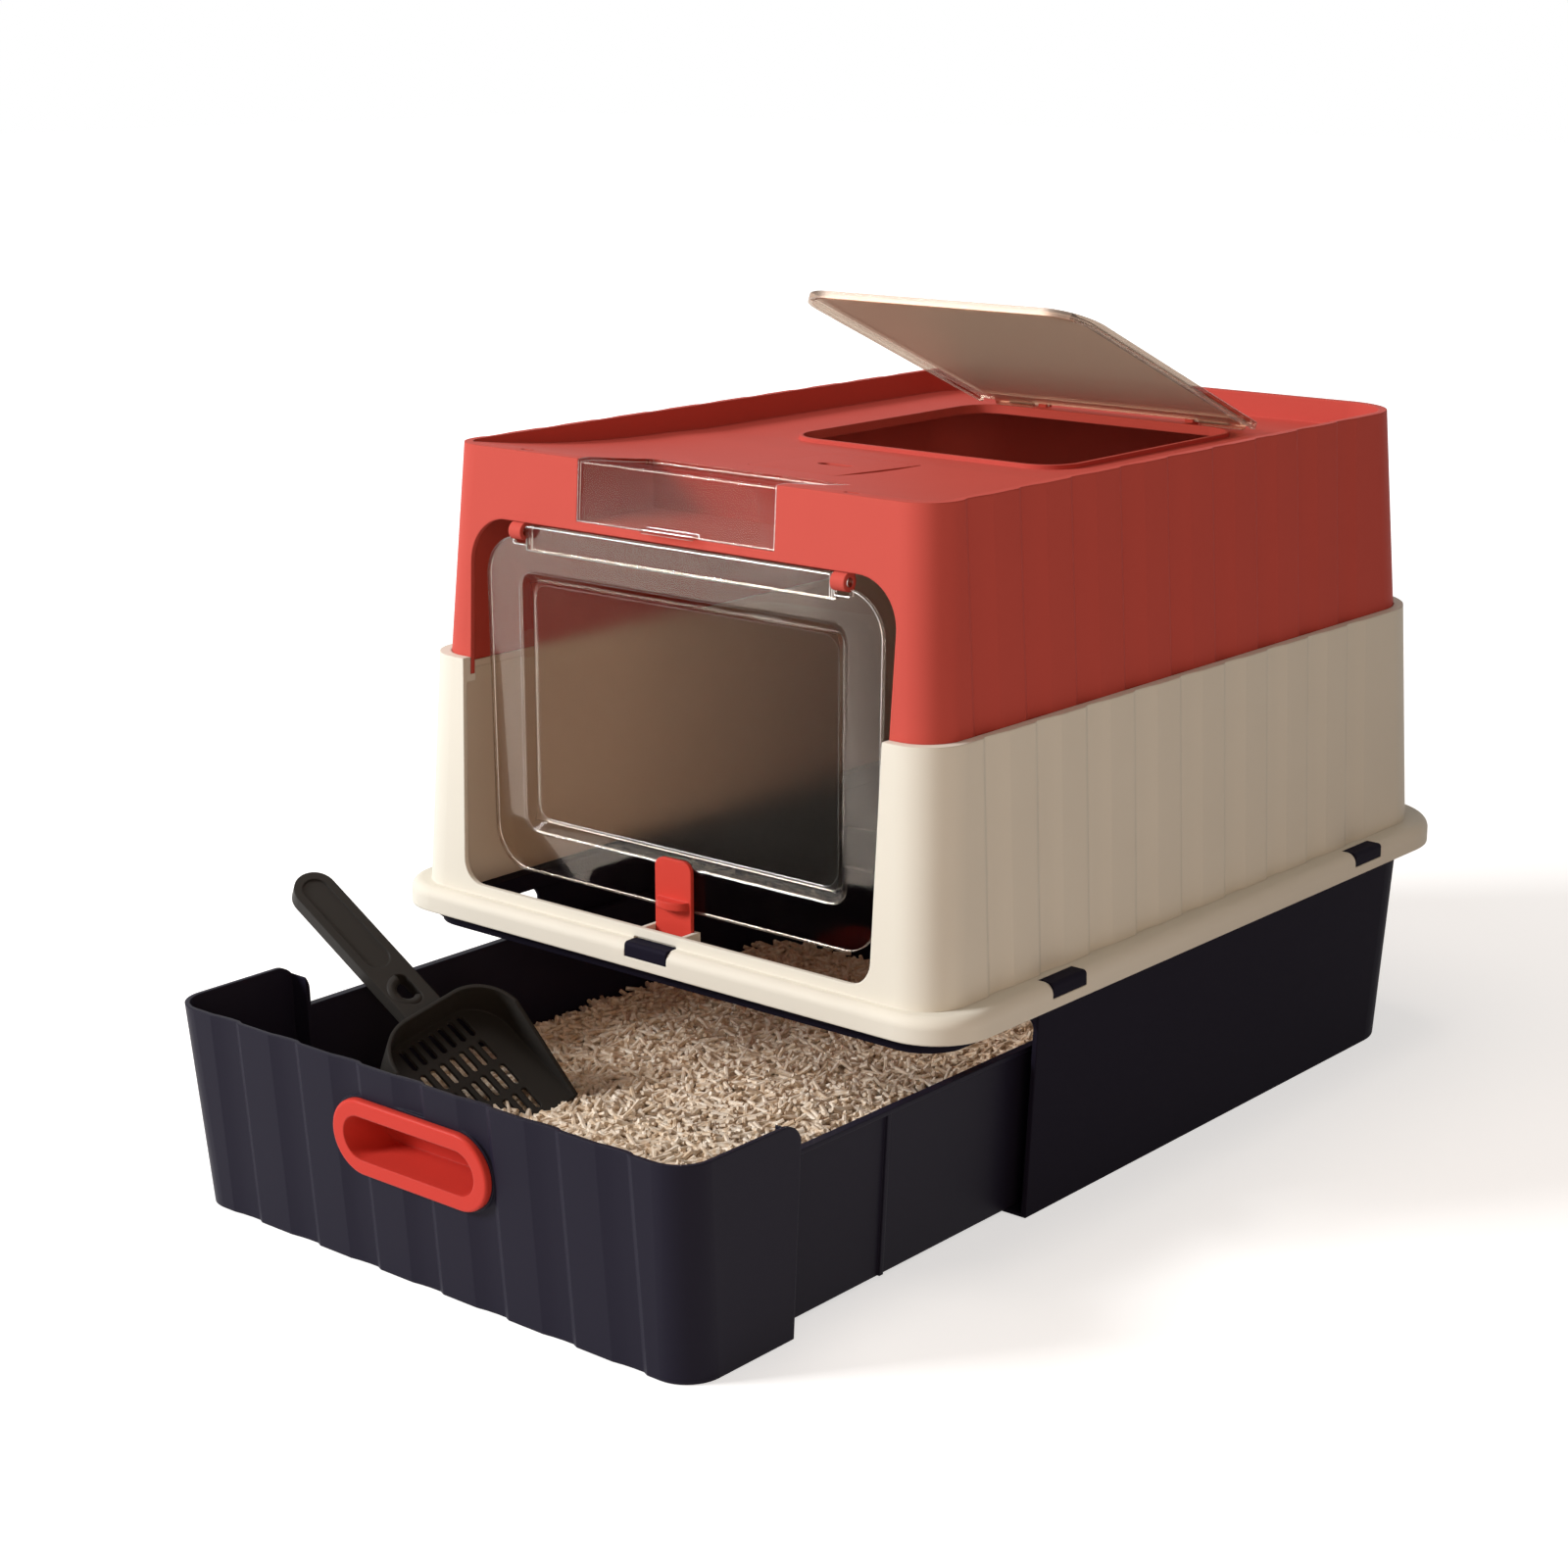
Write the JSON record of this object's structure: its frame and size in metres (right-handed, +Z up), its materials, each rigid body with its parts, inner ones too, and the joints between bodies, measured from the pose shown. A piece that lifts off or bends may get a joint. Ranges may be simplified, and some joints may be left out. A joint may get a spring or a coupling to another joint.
{
  "type": "drawer litter box",
  "caption": "Enclosed cat litter box with a front flap, a hinged top hatch, a pull-out drawer of pellet litter and a scoop.",
  "frame": {"origin": "on the underside of the base housing, below the middle of the hood's ledge", "axes": "+Z up, -Y towards the front with the doorway and the drawer, +X to the right as seen from behind the drawer front's left wing, which is the viewer's right"},
  "size_m": [0.4213, 0.7113, 0.4682],
  "materials": {
    "navy_plastic": "satin",
    "cream_plastic": "satin",
    "red_plastic": "satin",
    "smoked_clear": "polished",
    "water_clear": "polished",
    "handle_red": "satin",
    "scoop_grey": "satin",
    "pellets": "rough",
    "deodoriser": "rough",
    "hinge_pin": "satin"
  },
  "bodies": {
    "housing": {"base_housing": "navy_plastic", "base_clips": "navy_plastic", "middle_shell": "cream_plastic", "upper_shell": "red_plastic", "door_hangers": "red_plastic", "deodoriser_pad": "deodoriser"},
    "drawer": {"drawer_tub": "navy_plastic", "drawer_handle": "handle_red", "litter_bed": "pellets"},
    "flap": {"front_door": "smoked_clear"},
    "latch": {"door_latch": "handle_red"},
    "lid": {"top_lid": "smoked_clear", "lid_hinge_pins": "hinge_pin"},
    "pocket_lid": {"pocket_cover": "water_clear"},
    "well_lid": {"deodoriser_cover": "red_plastic"},
    "loose_scoop": {"scoop": "scoop_grey"}
  },
  "joints": [
    {"name": "drawer_slide", "type": "slide", "parent": "housing", "child": "drawer", "axis": [0, 1, 0], "range_m": [0, 0.1918]},
    {"name": "flap_hinge", "type": "hinge", "parent": "housing", "child": "flap", "pos_m": [0, -0.2405, 0.351], "axis": [1, 0, 0], "range_deg": [0, 75]},
    {"name": "latch_slide", "type": "slide", "parent": "housing", "child": "latch", "axis": [0, 0, -1], "range_m": [0, 0.029]},
    {"name": "lid_hinge", "type": "hinge", "parent": "housing", "child": "lid", "pos_m": [0, 0.173, 0.384], "axis": [-1, 0, 0], "range_deg": [-23.2, 77]},
    {"name": "pocket_cover_hinge", "type": "hinge", "parent": "housing", "child": "pocket_lid", "pos_m": [0, -0.185, 0.38667], "axis": [-1, 0, 0], "range_deg": [0, 100]},
    {"name": "well_cover_lift", "type": "slide", "parent": "housing", "child": "well_lid", "axis": [0, 0.0407, 0.9992], "range_m": [0, 0.04]},
    {"name": "scoop_lift", "type": "slide", "parent": "housing", "child": "loose_scoop", "axis": [0, -0.15, 0.9887], "range_m": [0, 0.42]}
  ],
  "couplings": [
    {"joint": "scoop_lift", "follows": "drawer_slide", "ratio": 2.176}
  ]
}
